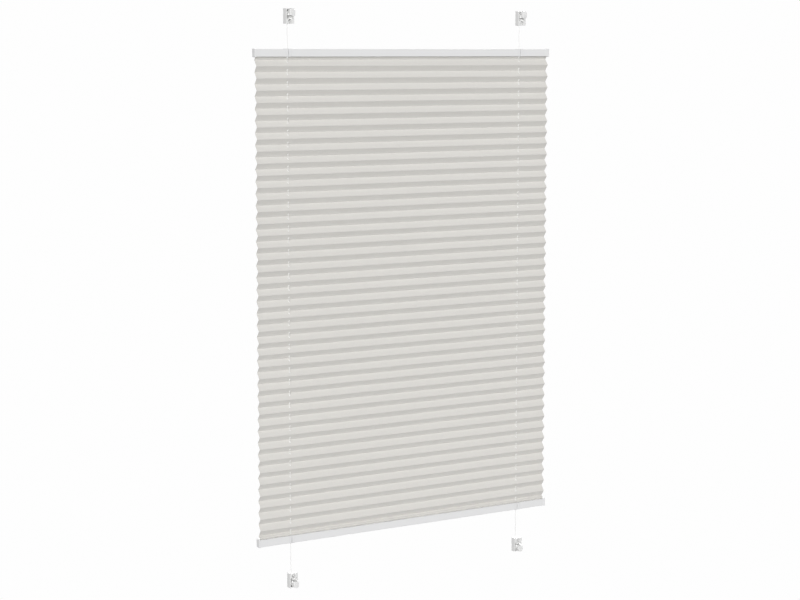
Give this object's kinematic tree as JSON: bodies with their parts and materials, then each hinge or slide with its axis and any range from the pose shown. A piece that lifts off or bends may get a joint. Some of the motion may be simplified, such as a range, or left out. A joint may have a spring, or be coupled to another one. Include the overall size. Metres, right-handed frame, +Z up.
{
  "type": "pleated blind",
  "caption": "Pleated window blind whose top and bottom rails slide on taut cords held by small screwed-on tension shoes.",
  "frame": {"origin": "centre of the pattern of screw holes in the tension shoes, on the plane that the shoes are screwed to", "axes": "+X along the rails to the viewer's right, +Y through the blind towards the window, +Z up"},
  "size_m": [0.7, 0.017, 1.175],
  "materials": {
    "rail": "light grey-white powder coat on an aluminium extrusion, satin",
    "end_cap": "moulded, light grey, fine spark texture",
    "cord_guide": "moulded, light grey, smooth",
    "turn_pin": "ground bright steel",
    "fabric_strip": "extruded, white",
    "pleat_cloth": "off-white plain-woven polyester, stiffened and heat-set in pleats",
    "cord": "white braided polyester",
    "bead": "moulded, white",
    "shoe": "moulded, white, fine satin",
    "clamp": "moulded, white, satin"
  },
  "bodies": {
    "root": {"top_left_shoe": "shoe", "top_right_shoe": "shoe", "bottom_left_shoe": "shoe", "bottom_right_shoe": "shoe", "top_left_cord_bead": "bead", "top_right_cord_bead": "bead", "bottom_left_cord_bead": "bead", "bottom_right_cord_bead": "bead", "left_cord": "cord", "right_cord": "cord"},
    "top_rail": {"top_rail": "rail", "top_rail_fabric_strip": "fabric_strip", "top_rail_left_cap": "end_cap", "top_rail_left_cross_cord": "cord", "top_rail_left_guide": "cord_guide", "top_rail_left_turn_pin": "turn_pin", "top_rail_right_cap": "end_cap", "top_rail_right_cross_cord": "cord", "top_rail_right_guide": "cord_guide", "top_rail_right_turn_pin": "turn_pin", "pleated_fabric": "pleat_cloth"},
    "bottom_rail": {"bottom_rail": "rail", "bottom_rail_fabric_strip": "fabric_strip", "bottom_rail_left_cap": "end_cap", "bottom_rail_left_cross_cord": "cord", "bottom_rail_left_guide": "cord_guide", "bottom_rail_left_turn_pin": "turn_pin", "bottom_rail_right_cap": "end_cap", "bottom_rail_right_cross_cord": "cord", "bottom_rail_right_guide": "cord_guide", "bottom_rail_right_turn_pin": "turn_pin"},
    "top_left_clamp": {"top_left_cord_clamp": "clamp"},
    "top_right_clamp": {"top_right_cord_clamp": "clamp"},
    "bottom_left_clamp": {"bottom_left_cord_clamp": "clamp"},
    "bottom_right_clamp": {"bottom_right_cord_clamp": "clamp"}
  },
  "joints": [
    {"name": "top_rail_slide", "type": "slide", "parent": "root", "child": "top_rail", "axis": [0, 0, 1], "range_m": [-0.06, 0.045]},
    {"name": "bottom_rail_slide", "type": "slide", "parent": "top_rail", "child": "bottom_rail", "axis": [0, 0, 1], "range_m": [0, 0.92], "deforming": ["pleated_fabric"]},
    {"name": "top_left_clamp_pull", "type": "slide", "parent": "root", "child": "top_left_clamp", "axis": [0, -1, 0], "range_m": [0, 0.004]},
    {"name": "top_right_clamp_pull", "type": "slide", "parent": "root", "child": "top_right_clamp", "axis": [0, -1, 0], "range_m": [0, 0.004]},
    {"name": "bottom_left_clamp_pull", "type": "slide", "parent": "root", "child": "bottom_left_clamp", "axis": [0, -1, 0], "range_m": [0, 0.004]},
    {"name": "bottom_right_clamp_pull", "type": "slide", "parent": "root", "child": "bottom_right_clamp", "axis": [0, -1, 0], "range_m": [0, 0.004]}
  ]
}
